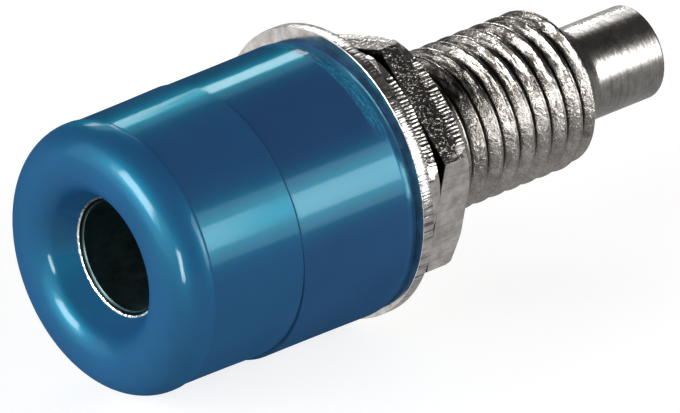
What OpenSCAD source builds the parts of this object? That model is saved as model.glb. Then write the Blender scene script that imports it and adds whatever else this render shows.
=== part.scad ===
// Panel socket for a 4 mm plug: an insulated head, a turned contact sleeve with a fine thread,
// and the loose clamp stack behind the panel (insulating bush, washer, mounting nut and lock nut).
// Millimetres. The socket's axis is Y: the plug enters at the nose, on the -Y side, and the
// solder pin points to +Y. The origin is on the axis, in the plane where the head meets the panel.

/* [Head] */
// Length of the head, from the front of the nose to the panel seat
head_length = 5.55; // [4.5:0.05:9]
// Diameter of the bead round the nose
bead_d = 9.98; // [9.9:0.02:11]
// Length of the nose, from its front to the step behind the bead
nose_length = 1.5; // [1.4:0.05:2]
// Radius of the nose's outer round
nose_round = 1.35; // [1:0.05:1.4]
// Radius of the lip that rolls into the plug opening
lip_round = 1.2; // [0.8:0.05:1.3]
// Slope of the entry cone, in degrees from the front plane
cone_slope = 60; // [50:1:64]
// Diameter of the plug opening at the foot of the cone
opening_d = 4.42; // [4.3:0.02:4.8]
// Diameter of the barrel just behind the nose
barrel_front_d = 9.92; // [9.6:0.02:10]
// Diameter of the barrel at the panel seat
barrel_rear_d = 10.02; // [9.8:0.02:10.6]
// Bevel on the moulded edges where head and bush meet
seam_bevel = 0.1; // [0.05:0.01:0.2]
// Diameter of the spigot that centres the head in the panel hole
spigot_d = 7.9; // [7.6:0.1:8.4]
// Length of that spigot
spigot_length = 2; // [1:0.1:2.6]

/* [Contact sleeve] */
// Outside diameter of the thread
thread_d = 5.9; // [5.8:0.02:6]
// Length of the thread behind the panel seat
thread_length = 15.4; // [14.8:0.1:20]
// Bevel at the end of the thread
thread_bevel = 0.4; // [0.2:0.05:0.5]
// Diameter of the plug bore
plug_bore_d = 4.04; // [4:0.02:4.2]
// Depth of the plug bore behind the sleeve's front face
plug_depth = 18; // [15:0.1:18.2]
// Bevel at the mouth of the plug bore
mouth_bevel = 0.1; // [0.05:0.01:0.12]
// Point angle of the drills that made the blind holes, in degrees
drill_point = 118; // [90:1:140]
// Diameter across the corners of the knurled band that grips the head
knurl_d = 6.9; // [6.6:0.1:7.2]
// Length of the knurled band
knurl_length = 2; // [1:0.1:2.4]
// Distance from the knurled band to the panel seat
knurl_setback = 0.8; // [0.4:0.1:1.2]
// Diameter of the solder pin
pin_d = 3.5; // [3.2:0.1:3.8]
// Length of the straight part of the solder pin
pin_length = 2.95; // [2.6:0.05:6]
// Radius of the hollow between thread and solder pin
neck_round = 1.15; // [0.85:0.05:1.3]
// Rounded-off edge at the end of the solder pin
pin_bevel = 0.12; // [0.05:0.01:0.3]
// Diameter of the wire hole in the solder pin
wire_hole_d = 2.2; // [1.6:0.1:2.4]
// Depth of the wire hole
wire_hole_depth = 3; // [2:0.1:3.2]

/* [Rear bush] */
// Length of the bush
bush_length = 5.2; // [4:0.1:6]
// Diameter of the bush at the panel
bush_front_d = 10.1; // [9.8:0.02:10.4]
// Diameter of the bush at the washer
bush_rear_d = 10.18; // [9.8:0.02:10.6]
// Round at the rear edge of the bush
bush_round = 0.1; // [0.05:0.05:0.6]
// Room behind the spigot in the recess of the bush
recess_room = 0.3; // [0.2:0.1:0.8]

/* [Washer] */
// Outside diameter of the washer
washer_d = 10.8; // [10.2:0.05:12]
// Thickness of the washer
washer_thickness = 0.46; // [0.4:0.02:0.8]
// Bevel that blanking leaves on the front edge of the washer
washer_bevel = 0.06; // [0.02:0.01:0.1]

/* [Nuts] */
// Width across the flats of both nuts
nut_flats = 8.2; // [8:0.1:8.6]
// Thickness of the mounting nut
mounting_nut_thickness = 1.3; // [1.1:0.05:2]
// Thickness of the lock nut
lock_nut_thickness = 1.4; // [1.1:0.05:2]
// Diameter of the flat ring that the chamfer leaves on a nut's rear face
nut_face_d = 8.1; // [7.8:0.1:8.2]
// Slope of that chamfer, in degrees from the nut's face
nut_chamfer = 33; // [25:1:35]
// Countersink at the mouths of a nut's hole
nut_countersink = 0.25; // [0.1:0.05:0.4]
// Turn of the mounting nut about the axis, in degrees
mounting_nut_turn = 47; // [0:1:59]
// Turn of the lock nut about the axis, in degrees
lock_nut_turn = 42; // [0:1:59]

/* [Clearances] */
// Radial clearance of the sleeve's plain front in the head
sleeve_clearance = 0.03; // [0.01:0.01:0.06]
// How far the knurl's corners bite into the head
knurl_bite = 0.06; // [0.02:0.01:0.1]
// Radial clearance of bush and washer on the thread
loose_play = 0.18; // [0.14:0.01:0.3]
// Closest that bush and washer come to the thread where they hang on it
hang_gap = 0.08; // [0.04:0.01:0.12]
// Radial clearance of the nuts on the thread
nut_clearance = 0.06; // [0.03:0.01:0.1]

/* [Hidden] */

$fn = 96;
// Extra reach of a cut past the face that it opens
cut_over = 1;
// Corners of each of the two prisms that make the knurl
knurl_corners = 12;

// Places along the axis, behind the panel seat
nose_front = -head_length;
bead_step = nose_front + nose_length;
bush_end = bush_length;
washer_end = bush_end + washer_thickness;
mounting_nut_end = washer_end + mounting_nut_thickness;
neck_start = thread_length + thread_bevel;
neck_r = thread_d / 2 - thread_bevel;
neck_hollow = neck_r - pin_d / 2;
neck_run = sqrt(neck_round * neck_round - pow(neck_round - neck_hollow, 2));
pin_start = neck_start + neck_run;
pin_end = pin_start + pin_length;

// The nose: both rounds touch the front plane at the crest
crest_r = bead_d / 2 - nose_round;
lip_end_r = crest_r - lip_round * sin(cone_slope);
lip_end = nose_front + lip_round * (1 - cos(cone_slope));
cone_foot = lip_end + (lip_end_r - opening_d / 2) * tan(cone_slope);

// The sleeve's front face sits on the shoulder at the foot of the entry cone
knurl_end = -knurl_setback;
knurl_start = knurl_end - knurl_length;
knurl_seat_r = knurl_d / 2 - knurl_bite;

// Bush and washer hang off the axis by what their play allows
hang_shift = loose_play - hang_gap;
loose_hole_r = thread_d / 2 + loose_play;
recess_r = spigot_d / 2 + loose_play;

// Turns a piece that was made along Z so that it lies along Y, to the rear
module along_axis() {
    rotate([-90, 0, 0]) children();
}

// A disc of material from one place on the axis to another, as half of its section
module step_section(from, to, r) {
    translate([0, from]) square([r, to - from]);
}

// A blind drilled hole that opens to +Z at the height given, with its conical end
module drilled_hole(mouth, depth, d) {
    point_depth = d / 2 / tan(drill_point / 2);
    translate([0, 0, mouth - depth]) cylinder(h = depth + cut_over, d = d);
    translate([0, 0, mouth - depth - point_depth]) cylinder(h = point_depth, d1 = 0, d2 = d);
}

// Half of the head's outer section: rounded nose, drafted barrel and panel spigot
module head_outline() {
    step_section(nose_front, bead_step, crest_r);
    step_section(nose_front + nose_round, bead_step, bead_d / 2);
    intersection() {
        translate([crest_r, nose_front + nose_round]) circle(r = nose_round);
        step_section(nose_front, bead_step, bead_d / 2);
    }
    polygon([
        [0, bead_step],
        [barrel_front_d / 2, bead_step],
        [barrel_rear_d / 2, -seam_bevel],
        [barrel_rear_d / 2 - seam_bevel, 0],
        [0, 0],
    ]);
    polygon([
        [0, -seam_bevel],
        [spigot_d / 2, -seam_bevel],
        [spigot_d / 2, spigot_length - seam_bevel],
        [spigot_d / 2 - seam_bevel, spigot_length],
        [0, spigot_length],
    ]);
}

// Half of the space that leads the plug in: a rolled lip, then a cone down to the opening
module entry_outline() {
    difference() {
        polygon([
            [0, nose_front - cut_over],
            [crest_r, nose_front - cut_over],
            [crest_r, nose_front],
            [lip_end_r, lip_end],
            [opening_d / 2, cone_foot],
            [0, cone_foot],
        ]);
        translate([crest_r, nose_front + lip_round]) circle(r = lip_round);
    }
}

module insulator_head() {
    color("steelblue") along_axis() difference() {
        rotate_extrude() head_outline();
        rotate_extrude() entry_outline();
        translate([0, 0, cone_foot])
            cylinder(h = spigot_length - cone_foot + cut_over, r = thread_d / 2 + sleeve_clearance);
        translate([0, 0, knurl_start])
            cylinder(h = spigot_length - knurl_start + cut_over, r = knurl_seat_r);
    }
}

// Half of the sleeve's outer section: threaded shank, hollow neck and solder pin
module sleeve_outline() {
    step_section(cone_foot, thread_length, thread_d / 2);
    polygon([
        [0, thread_length],
        [thread_d / 2, thread_length],
        [neck_r, neck_start],
        [0, neck_start],
    ]);
    difference() {
        step_section(neck_start, pin_start, neck_r);
        translate([pin_d / 2 + neck_round, pin_start]) circle(r = neck_round);
    }
    polygon([
        [0, pin_start],
        [pin_d / 2, pin_start],
        [pin_d / 2, pin_end - pin_bevel],
        [pin_d / 2 - pin_bevel, pin_end],
        [0, pin_end],
    ]);
}

module contact_sleeve() {
    color("silver") along_axis() difference() {
        union() {
            rotate_extrude() sleeve_outline();
            for (turn = [0, 180 / knurl_corners])
                rotate([0, 0, turn]) translate([0, 0, knurl_start])
                    cylinder(h = knurl_length, d = knurl_d, $fn = knurl_corners);
        }
        mirror([0, 0, 1]) drilled_hole(-cone_foot, plug_depth, plug_bore_d);
        translate([0, 0, cone_foot])
            cylinder(h = mouth_bevel, d1 = plug_bore_d + 2 * mouth_bevel, d2 = plug_bore_d);
        drilled_hole(pin_end, wire_hole_depth, wire_hole_d);
    }
}

// Half of the bush's outer section, with a bevelled front edge and a rounded rear edge
module bush_outline() {
    polygon([
        [0, 0],
        [bush_front_d / 2 - seam_bevel, 0],
        [bush_front_d / 2, seam_bevel],
        [bush_rear_d / 2, bush_end - bush_round],
        [0, bush_end - bush_round],
    ]);
    step_section(bush_end - bush_round, bush_end, bush_rear_d / 2 - bush_round);
    intersection() {
        translate([bush_rear_d / 2 - bush_round, bush_end - bush_round]) circle(r = bush_round);
        step_section(bush_end - bush_round, bush_end, bush_rear_d / 2);
    }
}

module rear_bush() {
    color("steelblue") translate([0, 0, -hang_shift]) along_axis() difference() {
        rotate_extrude() bush_outline();
        translate([0, 0, -cut_over])
            cylinder(h = spigot_length + recess_room + cut_over, r = recess_r);
        cylinder(h = bush_end + cut_over, r = loose_hole_r);
    }
}

module washer() {
    color("gainsboro") translate([0, 0, hang_shift]) along_axis() difference() {
        translate([0, 0, bush_end]) union() {
            cylinder(h = washer_bevel, d1 = washer_d - 2 * washer_bevel, d2 = washer_d);
            translate([0, 0, washer_bevel])
                cylinder(h = washer_thickness - washer_bevel, d = washer_d);
        }
        translate([0, 0, bush_end - cut_over])
            cylinder(h = washer_thickness + 2 * cut_over, r = loose_hole_r);
    }
}

// A thin hexagon nut that stands on its flat front face at Z = 0, with a chamfered rear face
module thin_nut(thickness) {
    corner_d = nut_flats / cos(30);
    hole_r = thread_d / 2 + nut_clearance;
    chamfer_depth = (corner_d - nut_face_d) / 2 * tan(nut_chamfer);
    difference() {
        intersection() {
            cylinder(h = thickness, d = corner_d, $fn = 6);
            rotate_extrude() polygon([
                [0, 0],
                [corner_d / 2, 0],
                [corner_d / 2, thickness - chamfer_depth],
                [nut_face_d / 2, thickness],
                [0, thickness],
            ]);
        }
        translate([0, 0, -cut_over]) cylinder(h = thickness + 2 * cut_over, r = hole_r);
        cylinder(h = nut_countersink, r1 = hole_r + nut_countersink, r2 = hole_r);
        translate([0, 0, thickness - nut_countersink])
            cylinder(h = nut_countersink, r1 = hole_r, r2 = hole_r + nut_countersink);
    }
}

module mounting_nut() {
    color("lightgray") along_axis() translate([0, 0, washer_end])
        rotate([0, 0, mounting_nut_turn]) thin_nut(mounting_nut_thickness);
}

module lock_nut() {
    color("lightgray") along_axis() translate([0, 0, mounting_nut_end])
        rotate([0, 0, lock_nut_turn]) thin_nut(lock_nut_thickness);
}

insulator_head();
contact_sleeve();
rear_bush();
washer();
mounting_nut();
lock_nut();
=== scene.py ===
import math

import bpy
from mathutils import Euler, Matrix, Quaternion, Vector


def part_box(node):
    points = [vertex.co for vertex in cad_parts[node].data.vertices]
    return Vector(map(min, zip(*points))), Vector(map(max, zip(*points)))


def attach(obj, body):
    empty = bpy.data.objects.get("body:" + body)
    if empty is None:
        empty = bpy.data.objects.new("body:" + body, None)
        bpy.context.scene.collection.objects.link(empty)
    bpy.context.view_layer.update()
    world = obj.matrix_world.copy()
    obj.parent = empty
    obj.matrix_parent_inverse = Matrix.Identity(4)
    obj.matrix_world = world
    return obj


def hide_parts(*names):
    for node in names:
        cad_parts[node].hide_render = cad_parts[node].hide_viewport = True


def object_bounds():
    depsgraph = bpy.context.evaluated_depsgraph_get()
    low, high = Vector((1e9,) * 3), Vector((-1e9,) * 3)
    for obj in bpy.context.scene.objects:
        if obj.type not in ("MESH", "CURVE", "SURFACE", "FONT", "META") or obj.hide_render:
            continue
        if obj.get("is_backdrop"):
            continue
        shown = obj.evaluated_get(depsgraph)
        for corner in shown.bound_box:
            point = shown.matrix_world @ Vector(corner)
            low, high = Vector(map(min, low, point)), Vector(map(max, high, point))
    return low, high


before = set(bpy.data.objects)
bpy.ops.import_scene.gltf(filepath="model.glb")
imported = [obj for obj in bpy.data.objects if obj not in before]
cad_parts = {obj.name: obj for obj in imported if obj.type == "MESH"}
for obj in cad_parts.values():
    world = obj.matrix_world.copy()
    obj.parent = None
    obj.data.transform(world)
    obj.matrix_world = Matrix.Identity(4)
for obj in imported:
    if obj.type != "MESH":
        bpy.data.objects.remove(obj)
cad_low, cad_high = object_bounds()

# Insulator head: the front of the blue body, injection moulded in glossy plastic. A fat rounded
# nose with a rolled lip leads the plug in, a hairline step ends the nose, and a spigot behind the
# barrel centres the head in the panel hole. The contact sleeve is pressed into it from behind.
mm = 0.001
head_low, head_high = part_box("insulator_head")
nose_front = head_low.y
spigot_end = head_high.y
bead_r = head_high.x
nose_round = 1.35 * mm
lip_round = 1.2 * mm
lip_turn = 60
bead_step = nose_front + 1.5 * mm
step_soft = 0.06 * mm
barrel_front_r = 4.96 * mm
barrel_rear_r = 5.01 * mm
seam_bevel = 0.03 * mm
opening_r = 2.21 * mm
spigot_r = 3.95 * mm
sleeve_seat_r = 2.98 * mm
knurl_seat_r = 3.39 * mm
knurl_seat = -2.8 * mm


def arc(centre_r, centre_y, radius, start, end, steps):
    """Points (r, y) of a round in a half section; 0 degrees points outwards and 90 to the rear."""
    turns = [math.radians(start + (end - start) * i / steps) for i in range(steps + 1)]
    return [(centre_r + radius * math.cos(t), centre_y + radius * math.sin(t)) for t in turns]


def sagging(front_r, front_y, rear_r, rear_y, steps):
    """Points (r, y) of a barrel that widens slowly, then faster, as a moulded wall shrinks."""
    shares = [0, 0.01] + [i / steps for i in range(1, steps)] + [0.99, 1]
    return [(front_r + (rear_r - front_r) * t * t, front_y + (rear_y - front_y) * t) for t in shares]


def turned_piece(name, section, steps=224):
    """Draws a closed half section by extruding one point round it, then spins it about the axis."""
    bpy.ops.object.select_all(action="DESELECT")
    bpy.ops.mesh.primitive_plane_add(size=mm, location=(0, 0, 0))
    piece = bpy.context.active_object
    piece.name = piece.data.name = name
    bpy.ops.object.mode_set(mode="EDIT")
    bpy.ops.mesh.select_all(action="SELECT")
    bpy.ops.mesh.merge(type="CENTER")
    bpy.ops.transform.translate(value=(section[0][0], section[0][1], 0))
    for (r0, y0), (r1, y1) in zip(section, section[1:] + section[:1]):
        bpy.ops.mesh.extrude_vertices_move(TRANSFORM_OT_translate={"value": (r1 - r0, y1 - y0, 0)})
    bpy.ops.mesh.select_all(action="SELECT")
    bpy.ops.mesh.remove_doubles(threshold=1e-8)
    bpy.ops.mesh.spin(steps=steps, angle=2 * math.pi, center=(0, 0, 0), axis=(0, 1, 0))
    bpy.ops.mesh.select_all(action="SELECT")
    bpy.ops.mesh.remove_doubles(threshold=1e-7)
    bpy.ops.mesh.normals_make_consistent(inside=False)
    bpy.ops.object.mode_set(mode="OBJECT")
    bpy.ops.object.shade_smooth_by_angle(angle=math.radians(30))
    return piece


crest_r = bead_r - nose_round
lip_end_r = crest_r - lip_round * math.sin(math.radians(lip_turn))
lip_end = nose_front + lip_round * (1 - math.cos(math.radians(lip_turn)))
cone_foot = lip_end + (lip_end_r - opening_r) * math.tan(math.radians(lip_turn))
head_section = (
    [(sleeve_seat_r, knurl_seat), (sleeve_seat_r, cone_foot), (opening_r, cone_foot)]
    + arc(crest_r, nose_front + lip_round, lip_round, 270 - lip_turn, 270, 18)
    + arc(crest_r, nose_front + nose_round, nose_round, 270, 360, 28)[1:]
    + arc(bead_r - step_soft, bead_step - step_soft, step_soft, 10, 66, 5)
    + sagging(barrel_front_r, bead_step + 0.02 * mm, barrel_rear_r, -seam_bevel, 8)
    + arc(barrel_rear_r - seam_bevel, -seam_bevel, seam_bevel, 0, 90, 5)[1:]
    + [(spigot_r, 0), (spigot_r, spigot_end - 0.1 * mm), (spigot_r - 0.1 * mm, spigot_end)]
    + [(knurl_seat_r, spigot_end), (knurl_seat_r, knurl_seat)]
)
head = turned_piece("head_shell", head_section)


def wire(material, kind, inputs=(), **settings):
    """Adds a node to a material, sets its properties, and sets or links its inputs."""
    made = material.node_tree.nodes.new(kind)
    for key, value in settings.items():
        setattr(made, key, value)
    for socket, value in inputs:
        if isinstance(value, bpy.types.NodeSocket):
            material.node_tree.links.new(value, made.inputs[socket])
        else:
            made.inputs[socket].default_value = value
    return made


def new_finish(name):
    """An empty node material with its shader and its object coordinates."""
    finish = bpy.data.materials.new(name)
    finish.use_nodes = True
    shader = finish.node_tree.nodes["Principled BSDF"]
    place = wire(finish, "ShaderNodeTexCoord").outputs["Object"]
    return finish, shader, place


def ramp(material, value, *stops):
    """A colour ramp from (place, grey or colour) stops."""
    made = wire(material, "ShaderNodeValToRGB", [("Fac", value)])
    band = made.color_ramp
    while len(band.elements) < len(stops):
        band.elements.new(0.5)
    for element, (at, tone) in zip(band.elements, stops):
        element.position = at
        element.color = (*tone, 1) if isinstance(tone, tuple) else (tone, tone, tone, 1)
    return made.outputs["Color"]


def sums(material, operation, a, b=0.0, c=0.0):
    """One arithmetic node."""
    return wire(material, "ShaderNodeMath", [(0, a), (1, b), (2, c)], operation=operation).outputs[0]


def noise(material, place, scale, stretch=(1, 1, 1), detail=2.0, rough=0.5):
    """A noise texture of so many grains a metre, drawn out by stretch."""
    grid = wire(material, "ShaderNodeMapping", [("Vector", place), ("Scale", stretch)]).outputs[0]
    made = wire(material, "ShaderNodeTexNoise", [("Vector", grid), ("Scale", scale), ("Detail", detail), ("Roughness", rough)])
    return made.outputs["Fac"]


def glossy_blue(name, pale, skin, skin_soft, sheen, sheen_soft, scuffed_from=None, scuffed_to=None):
    """Moulded plastic: a deep blue body, a tinted sheen under a clear skin, faint sink and swirl."""
    finish, shader, place = new_finish(name)
    swirl = noise(finish, place, 420, detail=3)
    body = ramp(finish, swirl, (0.3, tuple(c * 0.875 for c in pale)), (0.7, pale))
    sink = noise(finish, place, 330, stretch=(0.6, 1.0, 0.6), detail=1)
    grain = noise(finish, place, 9000, detail=2)
    height = sums(finish, "MULTIPLY_ADD", grain, 0.012, sink)
    dent = wire(finish, "ShaderNodeBump", [("Strength", 1.0), ("Distance", 0.012 * mm), ("Height", height)])
    haze = sums(finish, "MULTIPLY_ADD", noise(finish, place, 1500, detail=4), 0.06, 0.32)
    bump = dent.outputs[0]
    if scuffed_from is not None:
        split = wire(finish, "ShaderNodeSeparateXYZ", [("Vector", place)]).outputs
        along, height = split[1], split[2]
        rubbed = wire(finish, "ShaderNodeMapRange", [("Value", height), (1, 3.0 * mm), (2, 3.9 * mm)]).outputs[0]
        rise = wire(finish, "ShaderNodeMapRange", [("Value", along), (1, scuffed_from), (2, scuffed_from + 0.12 * mm)]).outputs[0]
        fall = wire(finish, "ShaderNodeMapRange", [("Value", along), (1, scuffed_to), (2, scuffed_to - 0.1 * mm)]).outputs[0]
        band = sums(finish, "MULTIPLY", sums(finish, "MULTIPLY", rise, fall), rubbed)
        lines = noise(finish, place, 26000, stretch=(0.06, 1.0, 0.06), detail=2, rough=0.7)
        specks = noise(finish, place, 11000, detail=3, rough=0.7)
        marks = sums(finish, "SUBTRACT", sums(finish, "ADD", lines, specks), 1.0)
        scuff = sums(finish, "MULTIPLY", band, marks)
        worn = wire(finish, "ShaderNodeBump", [("Strength", 1.0), ("Distance", 0.03 * mm), ("Height", scuff), ("Normal", bump)])
        bump = worn.outputs[0]
        bright = ramp(finish, scuff, (0.01, 0.0), (0.16, 0.85))
        body = wire(finish, "ShaderNodeMixRGB", [("Fac", bright), ("Color1", body), ("Color2", (0.03, 0.2, 0.34, 1))]).outputs[0]
    for socket, value in (("Base Color", body), ("Roughness", haze), ("Normal", bump)):
        finish.node_tree.links.new(value, shader.inputs[socket])
    shader.inputs["Specular IOR Level"].default_value = 0.0
    shader.inputs["Coat Weight"].default_value = skin
    shader.inputs["Coat Roughness"].default_value = skin_soft
    shader.inputs["Coat IOR"].default_value = 4.0
    tint = wire(finish, "ShaderNodeBsdfGlossy", [("Color", (0.0, 0.8, 1.0, 1)), ("Roughness", sheen_soft), ("Normal", bump)])
    both = wire(finish, "ShaderNodeMixShader", [(0, sheen), (1, shader.outputs[0]), (2, tint.outputs[0])])
    finish.node_tree.links.new(both.outputs[0], finish.node_tree.nodes["Material Output"].inputs[0])
    return finish


head.data.materials.append(glossy_blue("head_blue", (0.023, 0.084, 0.206), 0.0142, 0.08, 0.03, 0.29))
# The nose takes a second copy of the same plastic. Its slightly bluer colour is painted light for the front that the
# lamps face, and its stronger skin and softer sheen shape its highlights.
head.data.materials.append(glossy_blue("nose_blue_lit_copy", (0.0195, 0.083, 0.22), 0.032, 0.11, 0.042, 0.46))
for face in head.data.polygons:
    face.material_index = 1 if face.center.y < bead_step else 0
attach(head, "socket")
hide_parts("insulator_head")

# Contact sleeve: one bar of brass, turned, drilled for the plug, threaded with a fine right-hand
# thread, necked down to a solder pin and drilled for the wire, then nickel plated all over.
# It is pressed into the head, and its rim shows as a thin ring at the foot of the funnel.
sleeve_low, sleeve_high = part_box("contact_sleeve")
thread_r = 2.95 * mm
thread_pitch = 0.75 * mm
thread_depth = 0.43 * mm
thread_end = 15.4 * mm
thread_bevel = 0.4 * mm
bore_r = 2.02 * mm
bore_end = cone_foot + 18 * mm
pin_r = 1.75 * mm
pin_length = 2.95 * mm
neck_round = 1.15 * mm
pin_soft = 0.12 * mm
wire_hole_r = 1.1 * mm
wire_hole_depth = 3 * mm
drill_half = math.radians(59)
pin_end = sleeve_high.y
pin_start = pin_end - pin_length
neck_start = thread_end + thread_bevel
neck_r = thread_r - thread_bevel
wire_foot = pin_end - wire_hole_depth
neck_turn = math.degrees(math.acos((pin_r + neck_round - neck_r) / neck_round))
blank_section = (
    [(0, bore_end + bore_r / math.tan(drill_half)), (bore_r, bore_end)]
    + [(bore_r, cone_foot + 0.16 * mm), (bore_r + 0.12 * mm, cone_foot + 0.033 * mm)]
    + [(bore_r + 0.155 * mm, cone_foot + 0.005 * mm), (bore_r + 0.17 * mm, cone_foot)]
    + [(thread_r, cone_foot), (thread_r, thread_end), (neck_r, neck_start)]
    + arc(pin_r + neck_round, pin_start, neck_round, 180 + neck_turn, 180, 12)
    + arc(pin_r - pin_soft, pin_end - pin_soft, pin_soft, 0, 90, 5)
    + [(wire_hole_r + 0.06 * mm, pin_end), (wire_hole_r, pin_end - 0.06 * mm), (wire_hole_r, wire_foot)]
    + [(0, wire_foot - wire_hole_r / math.tan(drill_half))]
)
sleeve = turned_piece("contact_sleeve_turned", blank_section, 192)


def threaded_bar(name, crest_r, depth, pitch, start, end):
    """A closed bar with a rounded right-hand thread: one rib, drawn up the axis by a screw."""
    root_r = crest_r - depth
    rib = (
        [(root_r, 0.0), (root_r + 0.02 * depth, 0.035), (root_r + 0.1 * depth, 0.075)]
        + [(crest_r - 0.1 * depth, 0.385), (crest_r - 0.02 * depth, 0.43), (crest_r, 0.47)]
        + [(crest_r, 0.53), (crest_r - 0.02 * depth, 0.57), (crest_r - 0.1 * depth, 0.615)]
        + [(root_r + 0.1 * depth, 0.925), (root_r + 0.02 * depth, 0.965), (root_r, 1.0)]
    )
    bpy.ops.object.select_all(action="DESELECT")
    bpy.ops.mesh.primitive_plane_add(size=mm, location=(0, 0, 0))
    bar = bpy.context.active_object
    bar.name = bar.data.name = name
    bpy.ops.object.mode_set(mode="EDIT")
    bpy.ops.mesh.select_all(action="SELECT")
    bpy.ops.mesh.merge(type="CENTER")
    bpy.ops.transform.translate(value=(rib[0][0], start, 0))
    for (r0, p0), (r1, p1) in zip(rib, rib[1:]):
        step = (r1 - r0, (p1 - p0) * pitch, 0)
        bpy.ops.mesh.extrude_vertices_move(TRANSFORM_OT_translate={"value": step})
    bpy.ops.object.mode_set(mode="OBJECT")
    bpy.ops.object.modifier_add(type="SCREW")
    screw = bar.modifiers[-1]
    screw.axis = "Y"
    screw.angle = 2 * math.pi
    screw.screw_offset = pitch
    screw.iterations = math.ceil((end - start) / pitch)
    screw.steps = screw.render_steps = 96
    screw.use_merge_vertices = True
    screw.merge_threshold = 1e-6
    bpy.ops.object.modifier_apply(modifier=screw.name)
    bpy.ops.object.mode_set(mode="EDIT")
    bpy.ops.mesh.select_all(action="SELECT")
    bpy.ops.mesh.remove_doubles(threshold=1e-7)
    bpy.ops.mesh.select_all(action="DESELECT")
    bpy.ops.mesh.select_non_manifold()
    bpy.ops.mesh.edge_face_add()
    bpy.ops.mesh.select_all(action="SELECT")
    bpy.ops.mesh.normals_make_consistent(inside=False)
    bpy.ops.object.mode_set(mode="OBJECT")
    bpy.ops.object.shade_smooth_by_angle(angle=math.radians(40))
    return bar


bar = threaded_bar("thread_bar", thread_r - 0.004 * mm, thread_depth, thread_pitch, cone_foot - 1.6 * mm, pin_end + 1.5 * mm)


def cut(piece, tool, operation):
    """Applies a boolean of a tool to a piece, and takes the tool away."""
    bpy.ops.object.select_all(action="DESELECT")
    piece.select_set(True)
    bpy.context.view_layer.objects.active = piece
    bpy.ops.object.modifier_add(type="BOOLEAN")
    cutting = piece.modifiers[-1]
    cutting.operation = operation
    cutting.solver = "EXACT"
    cutting.object = tool
    bpy.ops.object.modifier_apply(modifier=cutting.name)
    bpy.data.objects.remove(tool)
    bpy.ops.object.shade_smooth_by_angle(angle=math.radians(30))


cut(sleeve, bar, "INTERSECT")


def plated(name, tone, roughness):
    """Nickel plate: warm grey metal with cloudy stains and uneven gloss."""
    finish, shader, place = new_finish(name)
    shader.inputs["Metallic"].default_value = 1.0
    cloud = noise(finish, place, 1700, detail=4, rough=0.6)
    colour = ramp(finish, cloud, (0.32, tuple(c * 0.7 for c in tone)), (0.66, tuple(c * 1.2 for c in tone)))
    gloss = sums(finish, "MULTIPLY_ADD", noise(finish, place, 4200, detail=4), 0.16, roughness - 0.08)
    finish.node_tree.links.new(colour, shader.inputs["Base Color"])
    finish.node_tree.links.new(gloss, shader.inputs["Roughness"])
    return finish, shader, place


def relief(finish, shader, height, depth):
    """Adds a layer of relief of this depth over the layers that the finish has."""
    made = wire(finish, "ShaderNodeBump", [("Strength", 1.0), ("Distance", depth), ("Height", height)])
    if shader.inputs["Normal"].is_linked:
        finish.node_tree.links.new(shader.inputs["Normal"].links[0].from_socket, made.inputs["Normal"])
    finish.node_tree.links.new(made.outputs[0], shader.inputs["Normal"])


def cylinder_places(finish, place):
    """The distance from the axis, the place along it and the turn about it, as sockets."""
    split = wire(finish, "ShaderNodeSeparateXYZ", [("Vector", place)]).outputs
    square = sums(finish, "MULTIPLY_ADD", split[2], split[2], sums(finish, "MULTIPLY", split[0], split[0]))
    return sums(finish, "SQRT", square), split[1], sums(finish, "ARCTAN2", split[2], split[0])


def lathe_rings(finish, place, grains):
    """The uneven rings that a lathe tool leaves."""
    out, along, turn = cylinder_places(finish, place)
    ring = wire(finish, "ShaderNodeCombineXYZ", [(0, out), (1, along)]).outputs[0]
    return noise(finish, ring, grains, detail=3, rough=0.65)


def stain(finish, shader, amount, tone):
    """Darkens the colour of a finish towards a tone where amount is 1."""
    under = shader.inputs["Base Color"].links[0].from_socket
    made = wire(finish, "ShaderNodeMixRGB", [("Fac", amount), ("Color1", under), ("Color2", (*tone, 1))])
    finish.node_tree.links.new(made.outputs[0], shader.inputs["Base Color"])


nickel = (0.335, 0.319, 0.302)
thread_nickel = (0.335, 0.315, 0.294)
# A near-black tone for painted shade: in the thread roots, along the upper side of the mouth ring and on the nuts'
# front faces.
painted_shade_black = (0.018, 0.015, 0.012)
thread_root = thread_r - thread_depth
thread_finish, shader, place = plated("thread_nickel", thread_nickel, 0.22)
relief(thread_finish, shader, noise(thread_finish, place, 6500, detail=5, rough=0.72), 0.026 * mm)
relief(thread_finish, shader, noise(thread_finish, place, 2400, detail=3, rough=0.6), 0.05 * mm)
speckle = ramp(thread_finish, noise(thread_finish, place, 11000, detail=3, rough=0.7), (0.36, 0.45), (0.5, 0.0))
stain(thread_finish, shader, speckle, (0.09, 0.08, 0.07))
out, along, turn = cylinder_places(thread_finish, place)
# Painted shade: the thread roots are darkened towards near black, where shade falls between the ribs.
root_painted_shade = wire(thread_finish, "ShaderNodeMapRange", [("Value", out), (1, thread_root + 0.1 * mm), (2, thread_root + 0.02 * mm)]).outputs[0]
stain(thread_finish, shader, root_painted_shade, painted_shade_black)
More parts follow.
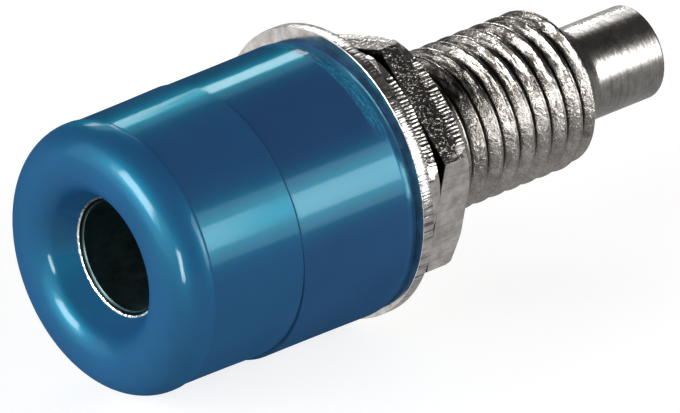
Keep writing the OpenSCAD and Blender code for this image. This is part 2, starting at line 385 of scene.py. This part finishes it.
# Painted shade: mottled dark patches that follow the thread's turns are laid on its upper side only.
high = wire(thread_finish, "ShaderNodeSeparateXYZ", [("Vector", place)]).outputs[2]
upper = wire(thread_finish, "ShaderNodeMapRange", [("Value", high), (1, 1.2 * mm), (2, 2.1 * mm)]).outputs[0]
wound = sums(thread_finish, "MULTIPLY", turn, 0.7 * mm)
unrolled = wire(thread_finish, "ShaderNodeCombineXYZ", [(0, out), (1, along), (2, wound)]).outputs[0]
top_painted_shade = ramp(thread_finish, noise(thread_finish, unrolled, 5200, detail=4, rough=0.7), (0.46, 0.0), (0.56, 0.92))
stain(thread_finish, shader, sums(thread_finish, "MULTIPLY", upper, top_painted_shade), (0.03, 0.026, 0.022))
near_nuts = wire(thread_finish, "ShaderNodeMapRange", [("Value", along), (1, 11.5 * mm), (2, 8.4 * mm)]).outputs[0]
blot = ramp(thread_finish, noise(thread_finish, place, 900, detail=5, rough=0.7), (0.5, 0.0), (0.64, 0.75))
stain(thread_finish, shader, sums(thread_finish, "MULTIPLY", near_nuts, blot), (0.05, 0.043, 0.036))
pin_finish, shader, place = plated("pin_nickel", nickel, 0.26)
rings = lathe_rings(pin_finish, place, 9000)
relief(pin_finish, shader, rings, 0.009 * mm)
stain(pin_finish, shader, ramp(pin_finish, rings, (0.34, 0.4), (0.52, 0.0)), (0.08, 0.075, 0.07))
rim_finish, shader, place = plated("mouth_nickel", (0.95, 0.95, 0.94), 0.25)
relief(rim_finish, shader, noise(rim_finish, place, 5200, detail=2), 0.06 * mm)
# Painted shade: the mouth ring is darkened along its upper side.
high = wire(rim_finish, "ShaderNodeSeparateXYZ", [("Vector", place)]).outputs[2]
shaded = wire(rim_finish, "ShaderNodeMapRange", [("Value", high), (1, 0.2 * mm), (2, 1.3 * mm)]).outputs[0]
stain(rim_finish, shader, sums(rim_finish, "MULTIPLY", shaded, 0.85), painted_shade_black)
# The bore's plate has a dark, blue-green tone: painted shade for the deep hole and a painted teal reflection.
bore_finish, shader, place = plated("bore_nickel_painted_shade", (0.1, 0.165, 0.17), 0.36)
relief(bore_finish, shader, lathe_rings(bore_finish, place, 8000), 0.003 * mm)
out, along, turn = cylinder_places(bore_finish, place)
# Painted shade: the bore is darkened to near black just behind its mouth.
mouth = wire(bore_finish, "ShaderNodeMapRange", [("Value", along), (1, cone_foot + 0.16 * mm), (2, cone_foot + 0.1 * mm)])
stain(bore_finish, shader, mouth.outputs[0], (0.004, 0.006, 0.006))
for finish in (thread_finish, pin_finish, bore_finish, rim_finish):
    sleeve.data.materials.append(finish)
for face in sleeve.data.polygons:
    out = math.hypot(face.center.x, face.center.z)
    if face.center.y > neck_start - 0.05 * mm:
        face.material_index = 1
    elif face.center.y < cone_foot + 0.03 * mm:
        face.material_index = 3
    elif out < bore_r + 0.09 * mm and face.center.y < bore_end + 2 * mm:
        face.material_index = 2
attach(sleeve, "socket")
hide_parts("contact_sleeve")

# Rear bush: the blue plastic collar behind the panel, moulded in the same plastic as the head.
# It slips over the thread, takes the head's spigot in a recess, and keeps the nuts off the panel.
# It hangs on the thread by its play, so it sits a little below the head.
bush_low, bush_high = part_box("rear_bush")
bush_drop = (bush_low.z + bush_high.z) / 2
bush_end = bush_high.y
bush_front_r = 5.05 * mm
bush_rear_r = bush_high.x
bush_droop = ((0.41, 0.001), (0.3, 0.014), (0.2, 0.031), (0.1, 0.052), (0.03, 0.076), (0, 0.11))
recess_r = 4.13 * mm
recess_end = spigot_end + 0.3 * mm
loose_hole_r = 3.13 * mm
bush_section = (
    [(loose_hole_r, recess_end), (recess_r, recess_end), (recess_r, 0)]
    + arc(bush_front_r - seam_bevel, seam_bevel, seam_bevel, -90, 0, 5)
    + sagging(bush_front_r, seam_bevel, bush_rear_r, bush_end - 0.42 * mm, 8)[1:]
    + [(bush_rear_r - fall * mm, bush_end - along * mm) for along, fall in bush_droop]
    + [(loose_hole_r, bush_end)]
)
bush = turned_piece("bush_collar", bush_section)


def shift(piece, drop):
    """Moves a piece's mesh up or down, so that its object stays at the origin."""
    bpy.ops.object.select_all(action="DESELECT")
    piece.select_set(True)
    bpy.context.view_layer.objects.active = piece
    bpy.ops.object.mode_set(mode="EDIT")
    bpy.ops.mesh.select_all(action="SELECT")
    bpy.ops.transform.translate(value=(0, 0, drop))
    bpy.ops.object.mode_set(mode="OBJECT")


shift(bush, bush_drop)
bush.data.materials.append(glossy_blue("bush_blue", (0.023, 0.069, 0.176), 0.0165, 0.08, 0.03, 0.29, bush_end - 0.9 * mm, bush_end - 0.26 * mm))
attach(bush, "clamp_stack")
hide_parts("rear_bush")

# Washer: a thin ring punched out of nickel-plated brass sheet. Its rim shows the torn, upright
# marks of the punch. It lies between the bush and the mounting nut, loose on the thread.
washer_low, washer_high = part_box("washer")
washer_rise = (washer_low.z + washer_high.z) / 2
washer_r = washer_high.x - 0.008 * mm
edge_roll = 0.03 * mm
washer_section = (
    [(loose_hole_r, washer_high.y), (loose_hole_r, washer_low.y)]
    + arc(washer_r - edge_roll, washer_low.y + edge_roll, edge_roll, -90, 0, 4)
    + arc(washer_r - 0.02 * mm, washer_high.y - 0.02 * mm, 0.02 * mm, 0, 90, 2)
)
washer = turned_piece("washer_ring", washer_section)
shift(washer, washer_rise)


washer_finish, shader, place = plated("washer_nickel", (0.8, 0.755, 0.715), 0.16)
relief(washer_finish, shader, noise(washer_finish, place, 6000, detail=4), 0.0006 * mm)
torn_finish, shader, place = plated("washer_rim_nickel", (0.62, 0.59, 0.57), 0.22)
tears = noise(torn_finish, place, 12500, stretch=(1, 0.04, 1), detail=2, rough=0.6)
relief(torn_finish, shader, tears, 0.022 * mm)
stain(torn_finish, shader, ramp(torn_finish, tears, (0.38, 0.8), (0.5, 0.0)), (0.1, 0.095, 0.09))
washer.data.materials.append(washer_finish)
washer.data.materials.append(torn_finish)
for face in washer.data.polygons:
    face.material_index = 1 if abs(face.normal.y) < 0.75 else 0
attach(washer, "clamp_stack")
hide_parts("washer")

# Mounting nut and lock nut: thin hexagon nuts sliced from drawn brass bar, chamfered on the rear
# face, tapped and nickel plated. The first clamps the stack, and the second is jammed against it.
nut_flats = 8.2 * mm
nut_rise = 0.1 * mm
nut_shoulder_r = 4.2 * mm
nut_turned_r = 4.62 * mm
nut_turned_from = 0.5 * mm
nut_turned_to = 0.26 * mm
nut_countersink = 0.25 * mm
nut_hole_r = 3.01 * mm
nut_tone = (0.67, 0.635, 0.606)


def nut_nickel(name, front, back):
    """Drawn bar: flats with lengthwise lines and pits, tool ticks along the rear edge, painted shade on the upward
    faces, and painted shade on the front face where the nuts meet.
    """
    finish, shader, place = plated(name, nut_tone, 0.2)
    drawn = noise(finish, place, 9000, stretch=(1, 0.08, 1), detail=3, rough=0.7)
    stain(finish, shader, ramp(finish, drawn, (0.36, 0.24), (0.5, 0.0)), (0.12, 0.11, 0.1))
    relief(finish, shader, drawn, 0.003 * mm)
    facing = wire(finish, "ShaderNodeSeparateXYZ", [("Vector", wire(finish, "ShaderNodeTexCoord").outputs["Normal"])]).outputs[2]
    upward_faces = wire(finish, "ShaderNodeMapRange", [("Value", facing), (1, 0.2), (2, 0.4)]).outputs[0]
    out, along, turn = cylinder_places(finish, place)
    corner = wire(finish, "ShaderNodeMapRange", [("Value", out), (1, 4.5 * mm), (2, 4.55 * mm)]).outputs[0]
    rear = wire(finish, "ShaderNodeMapRange", [("Value", along), (1, back - 0.68 * mm), (2, back - 0.6 * mm)]).outputs[0]
    turned = sums(finish, "SUBTRACT", 1.0, sums(finish, "MULTIPLY", corner, rear))
    upward_faces = sums(finish, "MULTIPLY", upward_faces, turned)
    # Painted shade: the upward faces are darkened.
    stain(finish, shader, sums(finish, "MULTIPLY", upward_faces, 0.7), (0.12, 0.11, 0.1))
    pits = ramp(finish, noise(finish, place, 7000, detail=2, rough=0.6), (0.52, 0.0), (0.7, 1.0))
    relief(finish, shader, sums(finish, "MULTIPLY", pits, upward_faces), 0.02 * mm)
    edge = wire(finish, "ShaderNodeMapRange", [("Value", along), (1, back - 0.5 * mm), (2, back - 0.4 * mm)]).outputs[0]
    wander = noise(finish, place, 3000, stretch=(1, 0.05, 1), detail=2)
    ticks = sums(finish, "SINE", sums(finish, "MULTIPLY_ADD", turn, 190.0, sums(finish, "MULTIPLY", wander, 11.0)))
    relief(finish, shader, sums(finish, "MULTIPLY", ticks, sums(finish, "MULTIPLY", edge, upward_faces)), 0.01 * mm)
    # Painted shade: the front face, where the nut meets its neighbour, is darkened to near black.
    joint_painted_shade = wire(finish, "ShaderNodeMapRange", [("Value", along), (1, front + 0.05 * mm), (2, front + 0.02 * mm)]).outputs[0]
    stain(finish, shader, joint_painted_shade, painted_shade_black)
    return finish


for nut_name, node_name, turn in (("mounting_nut_hex", "mounting_nut", 47), ("lock_nut_hex", "lock_nut", 42)):
    nut_low, nut_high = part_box(node_name)
    front, back = nut_low.y, nut_high.y
    corner_r = nut_flats / math.sqrt(3)
    reach = corner_r + nut_rise + 0.03 * mm
    nut_section = (
        [(nut_hole_r + nut_countersink, front), (reach, front), (reach, back - nut_turned_from)]
        + [(nut_turned_r + 0.05 * mm, back - nut_turned_from), (nut_turned_r, back - nut_turned_to)]
        + [(nut_shoulder_r, back), (nut_hole_r + nut_countersink, back)]
        + [(nut_hole_r, back - nut_countersink), (nut_hole_r, front + nut_countersink)]
    )
    nut = turned_piece(nut_name, nut_section, 192)
    bpy.ops.object.select_all(action="DESELECT")
    bpy.ops.mesh.primitive_cylinder_add(vertices=6, radius=corner_r, depth=4 * mm, location=(0, (front + back) / 2, nut_rise), rotation=(math.radians(-90), math.radians(turn - 30), 0))
    hexagon = bpy.context.active_object
    bpy.ops.object.transform_apply(location=True, rotation=True, scale=True)
    cut(nut, hexagon, "INTERSECT")
    nut.data.materials.append(nut_nickel(node_name + "_nickel", front, back))
    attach(nut, "nut_pair")
    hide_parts(node_name)

# Table and light: a plain white lit table under soft boxes, as in a product studio. One long box
# stands behind to the right, one window behind to the left, and two small ones light the nose.
table_top = cad_low.z
bpy.ops.object.select_all(action="DESELECT")
bpy.ops.mesh.primitive_plane_add(size=0.6, location=(0, 0, table_top))
table = bpy.context.active_object
table.name = "table"
table_finish, shader, place = new_finish("table_white")
shader.inputs["Base Color"].default_value = (0.45, 0.45, 0.45, 1)
shader.inputs["Roughness"].default_value = 0.9
shader.inputs["Specular IOR Level"].default_value = 0.0
shader.inputs["Emission Color"].default_value = (1, 1, 1, 1)
shader.inputs["Emission Strength"].default_value = 0.76
table.data.materials.append(table_finish)
table.visible_glossy = False
table.visible_diffuse = False
table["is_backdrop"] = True


def soft_box(name, azimuth, elevation, width, height, glow, lean=0, shine_only=False, distance=0.5):
    """An area light of so many degrees, seen from the socket; azimuth 0 is +Y and 90 is +X."""
    a, e = math.radians(azimuth), math.radians(elevation)
    away = (math.sin(a) * math.cos(e), math.cos(a) * math.cos(e), math.sin(e))
    data = bpy.data.lights.new(name, "AREA")
    data.shape = "RECTANGLE"
    data.size = 2 * distance * math.tan(math.radians(width / 2))
    data.size_y = 2 * distance * math.tan(math.radians(height / 2))
    data.energy = glow * math.pi * data.size * data.size_y
    lamp = bpy.data.objects.new(name, data)
    bpy.context.scene.collection.objects.link(lamp)
    lamp.location = [distance * c for c in away]
    lamp.rotation_mode = "QUATERNION"
    upright = Euler((math.radians(90) - e, 0, math.radians(180) - a)).to_quaternion()
    lamp.rotation_quaternion = upright @ Quaternion((0, 0, 1), math.radians(lean))
    lamp.visible_diffuse = not shine_only
    return lamp


soft_box("back_left_window", -51.0, 22.2, 3, 10.5, 60.0, lean=20, shine_only=True)
soft_box("back_left_card", -64, 20, 11, 8, 26.0, lean=15, shine_only=True)
soft_box("back_left_glow", -54, 31, 36, 13, 3.4)
soft_box("right_strip", 51, 17, 19, 35, 7.2)
soft_box("right_core", 52.2, 17.0, 4.5, 16, 19.0, lean=-11.5)
soft_box("right_line", 52.2, 17.0, 4.5, 9, 34.0, lean=-11.5)
soft_box("front_core", 187, 29, 30, 19, 26.0, lean=-20, shine_only=True)
soft_box("front_box", 188, 25, 44, 20, 4.0)
soft_box("front_card", 134, 4, 9, 21, 42.0, shine_only=True)
soft_box("front_fill", 194, 20, 92, 44, 1.7)
world = bpy.data.worlds.new("studio")
world.use_nodes = True
world.node_tree.nodes["Background"].inputs["Color"].default_value = (1, 1, 1, 1)
facing = wire(world, "ShaderNodeTexCoord").outputs["Generated"]
toward = wire(world, "ShaderNodeSeparateXYZ", [("Vector", facing)]).outputs
below = sums(world, "LESS_THAN", toward[2], 0.0)
ground = sums(world, "MULTIPLY_ADD", toward[1], -0.2, 0.5)
glow = sums(world, "MULTIPLY_ADD", below, ground, 0.06)
world.node_tree.links.new(glow, world.node_tree.nodes["Background"].inputs["Strength"])
bpy.context.scene.world = world

# Camera: a long lens 0.6 m away, at the photograph's angle, with the picture's middle a little
# to the rear of the panel seat.
camera_azimuth = math.radians(48.94)
camera_elevation = math.radians(27.48)
camera_distance = 0.6
aim_right = 4.531 * mm
aim_up = 0.487 * mm
picture_width = 680
pixels_per_metre = 28616
to_right = (math.cos(camera_azimuth), math.sin(camera_azimuth), 0)
forward = (
    -math.sin(camera_azimuth) * math.cos(camera_elevation),
    math.cos(camera_azimuth) * math.cos(camera_elevation),
    -math.sin(camera_elevation),
)
upward = (
    -math.sin(camera_azimuth) * math.sin(camera_elevation),
    math.cos(camera_azimuth) * math.sin(camera_elevation),
    math.cos(camera_elevation),
)
lens = bpy.data.cameras.new("long_lens")
lens.sensor_width = 36
lens.lens = pixels_per_metre * camera_distance * lens.sensor_width / picture_width
camera = bpy.data.objects.new("long_lens", lens)
bpy.context.scene.collection.objects.link(camera)
camera.location = [
    r * aim_right + u * aim_up - f * camera_distance for r, u, f in zip(to_right, upward, forward)
]
camera.rotation_euler = (math.radians(90) - camera_elevation, 0, camera_azimuth)
bpy.context.scene.camera = camera
bpy.context.scene.view_settings.view_transform = "Standard"

low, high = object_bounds()
